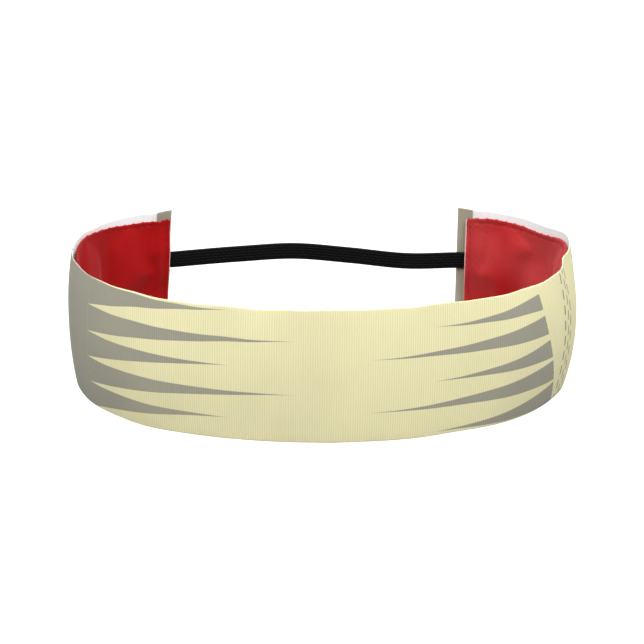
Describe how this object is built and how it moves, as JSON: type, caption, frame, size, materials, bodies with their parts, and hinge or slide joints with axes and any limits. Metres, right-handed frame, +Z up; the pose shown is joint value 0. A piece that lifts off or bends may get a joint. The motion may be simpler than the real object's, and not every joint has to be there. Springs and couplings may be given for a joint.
{
  "type": "sports headband",
  "caption": "Wide fabric headband: a patterned ribbon lined with velvet curls round the head and is closed at the back by a flat stretch elastic.",
  "frame": {"origin": "centre of the loop's bounding box, on the plane that the bottom edge stands on", "axes": "+X towards the right-hand arm when facing the forehead side, +Y from the forehead to the elastic, +Z up along the ribbon's width"},
  "size_m": [0.1894, 0.1162, 0.0508],
  "materials": {
    "grosgrain": "ribbed grosgrain, pale yellow printed with grey wedges, white on the inside",
    "velvet": "short pile velvet",
    "face_thread": "fine matt thread",
    "lining_thread": "fine matt thread",
    "tack_thread": "fine matt thread",
    "elastic_braid": "fine lengthwise braid, slight sheen",
    "rubber_strand": "matt latex"
  },
  "bodies": {
    "front": {"ribbon_front": "grosgrain", "lining_front": "velvet", "top_seam_face_thread_front": "face_thread", "bottom_seam_face_thread_front": "face_thread", "top_seam_lining_thread_front": "lining_thread", "bottom_seam_lining_thread_front": "lining_thread"},
    "left_arm": {"ribbon_left_arm": "grosgrain", "lining_left_arm": "velvet", "top_seam_face_thread_left_arm": "face_thread", "bottom_seam_face_thread_left_arm": "face_thread", "top_seam_lining_thread_left_arm": "lining_thread", "bottom_seam_lining_thread_left_arm": "lining_thread", "left_end_face_thread": "face_thread", "left_end_lining_thread": "lining_thread", "left_elastic_tack": "tack_thread", "elastic_braid_left_tail": "elastic_braid", "rubber_strands_left_tail": "rubber_strand"},
    "right_arm": {"ribbon_right_arm": "grosgrain", "lining_right_arm": "velvet", "top_seam_face_thread_right_arm": "face_thread", "bottom_seam_face_thread_right_arm": "face_thread", "top_seam_lining_thread_right_arm": "lining_thread", "bottom_seam_lining_thread_right_arm": "lining_thread", "right_end_face_thread": "face_thread", "right_end_lining_thread": "lining_thread", "right_elastic_tack": "tack_thread", "elastic_braid_right_tail": "elastic_braid", "rubber_strands_right_tail": "rubber_strand"},
    "left_elastic": {"elastic_braid_left_span": "elastic_braid", "rubber_strands_left_span": "rubber_strand"},
    "left_elastic_middle": {"elastic_braid_left_middle": "elastic_braid", "rubber_strands_left_middle": "rubber_strand"},
    "right_elastic": {"elastic_braid_right_span": "elastic_braid", "rubber_strands_right_span": "rubber_strand"},
    "right_elastic_middle": {"elastic_braid_right_middle": "elastic_braid", "rubber_strands_right_middle": "rubber_strand"}
  },
  "joints": [
    {"name": "left_arm_flex", "type": "hinge", "parent": "front", "child": "left_arm", "pos_m": [-0.0872, -0.01704, 0.0254], "axis": [0, 0, 1], "range_deg": [0, 35], "stiffness_Nm_per_rad": 0.05},
    {"name": "left_pocket_flex", "type": "hinge", "parent": "left_arm", "child": "left_elastic", "pos_m": [-0.05699, 0.05393, 0.03], "axis": [0, 0, -1], "range_deg": [-1, 36]},
    {"name": "left_elastic_stretch", "type": "slide", "parent": "left_elastic", "child": "left_elastic_middle", "axis": [1, 0, 0], "range_m": [-0.001, 0.0475]},
    {"name": "right_arm_flex", "type": "hinge", "parent": "front", "child": "right_arm", "pos_m": [0.0872, -0.01704, 0.0254], "axis": [0, 0, -1], "range_deg": [-1, 36]},
    {"name": "right_pocket_flex", "type": "hinge", "parent": "right_arm", "child": "right_elastic", "pos_m": [0.05699, 0.05393, 0.03], "axis": [0, 0, 1], "range_deg": [-1, 36]},
    {"name": "right_elastic_stretch", "type": "slide", "parent": "right_elastic", "child": "right_elastic_middle", "axis": [-1, 0, 0], "range_m": [-0.001, 0.0475]}
  ],
  "couplings": [
    {"joint": "right_arm_flex", "follows": "left_arm_flex", "ratio": 1},
    {"joint": "left_pocket_flex", "follows": "left_arm_flex", "ratio": 1},
    {"joint": "right_pocket_flex", "follows": "left_arm_flex", "ratio": 1},
    {"joint": "left_elastic_stretch", "follows": "left_arm_flex", "m_per_rad": 0.0756},
    {"joint": "right_elastic_stretch", "follows": "left_arm_flex", "m_per_rad": 0.0756}
  ]
}
